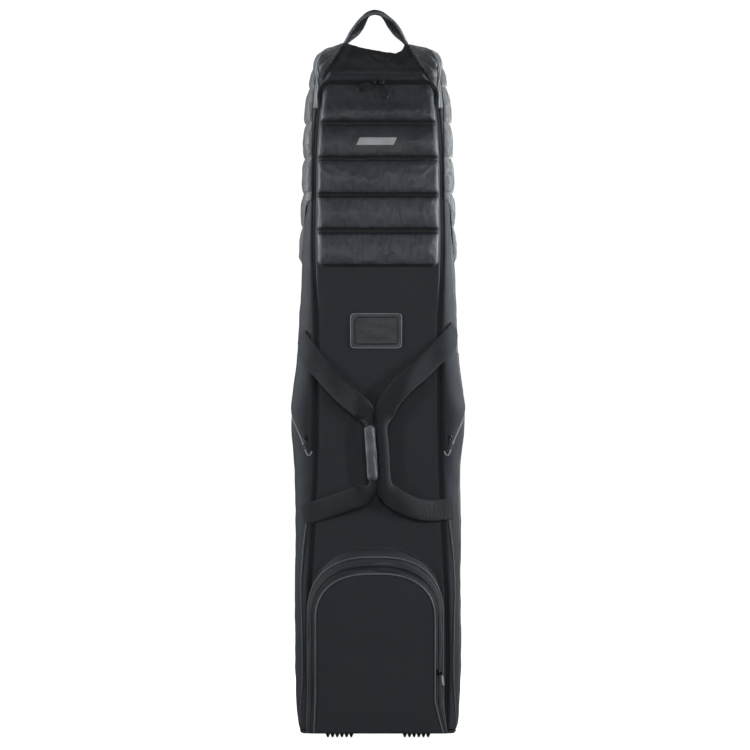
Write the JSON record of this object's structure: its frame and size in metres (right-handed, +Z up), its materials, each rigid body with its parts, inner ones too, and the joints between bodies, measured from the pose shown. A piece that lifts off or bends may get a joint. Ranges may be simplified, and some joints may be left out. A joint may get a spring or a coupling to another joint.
{
  "type": "golf travel case",
  "caption": "Tall soft case for a golf bag, with a padded quilted top, a fold-down upper front, a front pocket, side pockets, carry straps, a top handle and in-line wheels.",
  "frame": {"origin": "on the floor, at the middle of the standing case's bounding box", "axes": "+Z up along the case, -Y out of the front with the pocket and quilting, +X to the right seen from the front"},
  "size_m": [0.3188, 0.3222, 1.3242],
  "materials": {
    "shell_fabric": "matt woven polyester",
    "quilt_fabric": "slightly shiny ripstop",
    "webbing": "ribbed webbing",
    "grip_fabric": "grey wrap with stitching",
    "zip_tape": "woven tape with coil teeth",
    "moulded": "fine moulded grain",
    "urethane": "smooth",
    "steel": "plated",
    "vinyl": "clear sheet over dark lining",
    "label": "plain woven label"
  },
  "bodies": {
    "case_body": {"back_panel": "shell_fabric", "left_side_panel": "shell_fabric", "right_side_panel": "shell_fabric", "lower_front_panel": "shell_fabric", "hood": "shell_fabric", "left_quilt_pad": "quilt_fabric", "right_quilt_pad": "quilt_fabric", "zip_hood_half": "zip_tape", "left_lower_zip": "zip_tape", "right_lower_zip": "zip_tape", "front_pocket_gusset": "shell_fabric", "front_pocket_lower_panel": "shell_fabric", "front_pocket_zip": "zip_tape", "left_side_pocket": "shell_fabric", "right_side_pocket": "shell_fabric", "left_side_pocket_zip": "zip_tape", "right_side_pocket_zip": "zip_tape", "card_window": "vinyl", "base_plate": "moulded", "base_board": "moulded", "left_front_foot": "moulded", "right_front_foot": "moulded", "skid_plate": "moulded", "left_skid_rail": "moulded", "right_skid_rail": "moulded", "left_wheel_housing": "moulded", "right_wheel_housing": "moulded", "left_axle_bolt": "steel", "right_axle_bolt": "steel", "cinch_webbing_left": "webbing", "cinch_webbing_right": "webbing", "cinch_buckle_socket": "moulded"},
    "upper_flap": {"upper_front_panel": "shell_fabric", "front_quilt_pad": "quilt_fabric", "label_patch": "label", "zip_flap_half": "zip_tape"},
    "left_main_slider": {"main_left_slider": "steel"},
    "left_main_pull": {"main_left_pull": "moulded"},
    "right_main_slider": {"main_right_slider": "steel"},
    "right_main_pull": {"main_right_pull": "moulded"},
    "pocket_flap": {"front_pocket_flap": "shell_fabric"},
    "pocket_slider": {"front_pocket_slider": "steel"},
    "pocket_pull": {"front_pocket_pull": "moulded"},
    "left_pocket_slider": {"left_side_pocket_slider": "steel"},
    "left_pocket_pull": {"left_side_pocket_pull": "moulded"},
    "right_pocket_slider": {"right_side_pocket_slider": "steel"},
    "right_pocket_pull": {"right_side_pocket_pull": "moulded"},
    "left_handle": {"left_handle_strap": "webbing", "handle_grip": "grip_fabric"},
    "right_handle": {"right_handle_strap": "webbing"},
    "top_grab_handle": {"top_handle": "webbing"},
    "left_wheel": {"left_wheel_tyre": "urethane", "left_wheel_hub": "moulded", "left_outer_bearing": "steel", "left_inner_bearing": "steel"},
    "right_wheel": {"right_wheel_tyre": "urethane", "right_wheel_hub": "moulded", "right_outer_bearing": "steel", "right_inner_bearing": "steel"},
    "cinch_prongs": {"cinch_buckle_prongs": "moulded"}
  },
  "joints": [
    {"name": "flap_fold", "type": "hinge", "parent": "case_body", "child": "upper_flap", "pos_m": [0, -0.10925, 0.805], "axis": [1, 0, 0], "range_deg": [0, 100]},
    {"name": "left_main_slide", "type": "slide", "parent": "upper_flap", "child": "left_main_slider", "axis": [-1, 0, 0], "range_m": [0, 0.062]},
    {"name": "right_main_slide", "type": "slide", "parent": "upper_flap", "child": "right_main_slider", "axis": [1, 0, 0], "range_m": [0, 0.062]},
    {"name": "left_main_pull_swing", "type": "hinge", "parent": "left_main_slider", "child": "left_main_pull", "pos_m": [-0.0075, -0.11755, 1.194], "axis": [-1, 0, 0], "range_deg": [0, 68]},
    {"name": "right_main_pull_swing", "type": "hinge", "parent": "right_main_slider", "child": "right_main_pull", "pos_m": [0.0075, -0.11755, 1.194], "axis": [-1, 0, 0], "range_deg": [0, 68]},
    {"name": "pocket_fold", "type": "hinge", "parent": "case_body", "child": "pocket_flap", "pos_m": [-0.005, -0.16105, 0.111], "axis": [1, 0, 0], "range_deg": [0, 95]},
    {"name": "pocket_slide", "type": "slide", "parent": "case_body", "child": "pocket_slider", "axis": [0, 0, 1], "range_m": [0, 0.1]},
    {"name": "pocket_pull_swing", "type": "hinge", "parent": "pocket_slider", "child": "pocket_pull", "pos_m": [0.11602, -0.15236, 0.121], "axis": [-0.4472, -0.8944, 0], "range_deg": [0, 85]},
    {"name": "left_pocket_slide", "type": "slide", "parent": "case_body", "child": "left_pocket_slider", "axis": [0, 0, 1], "range_m": [0, 0.11]},
    {"name": "left_pocket_pull_swing", "type": "hinge", "parent": "left_pocket_slider", "child": "left_pocket_pull", "pos_m": [-0.13304, -0.11658, 0.546], "axis": [-0.9423, 0.3348, 0], "range_deg": [0, 85]},
    {"name": "right_pocket_slide", "type": "slide", "parent": "case_body", "child": "right_pocket_slider", "axis": [0, 0, 1], "range_m": [0, 0.11]},
    {"name": "right_pocket_pull_swing", "type": "hinge", "parent": "right_pocket_slider", "child": "right_pocket_pull", "pos_m": [0.13304, -0.11658, 0.546], "axis": [-0.9423, -0.3348, 0], "range_deg": [0, 85]},
    {"name": "left_handle_swing", "type": "hinge", "parent": "case_body", "child": "left_handle", "pos_m": [-0.15, -0.077, 0.57], "axis": [0, 0, -1], "range_deg": [0, 80]},
    {"name": "right_handle_swing", "type": "hinge", "parent": "case_body", "child": "right_handle", "pos_m": [0.15, -0.077, 0.57], "axis": [0, 0, 1], "range_deg": [0, 80]},
    {"name": "top_handle_fold", "type": "hinge", "parent": "case_body", "child": "top_grab_handle", "pos_m": [0, 0.02075, 1.271], "axis": [1, 0, 0], "range_deg": [-80, 80]},
    {"name": "left_wheel_spin", "type": "hinge", "parent": "case_body", "child": "left_wheel", "pos_m": [-0.112, 0.12475, 0.036], "axis": [1, 0, 0], "continuous": true},
    {"name": "right_wheel_spin", "type": "hinge", "parent": "case_body", "child": "right_wheel", "pos_m": [0.112, 0.12475, 0.036], "axis": [1, 0, 0], "continuous": true},
    {"name": "cinch_release", "type": "slide", "parent": "case_body", "child": "cinch_prongs", "axis": [1, 0, 0], "range_m": [0, 0.04]}
  ]
}
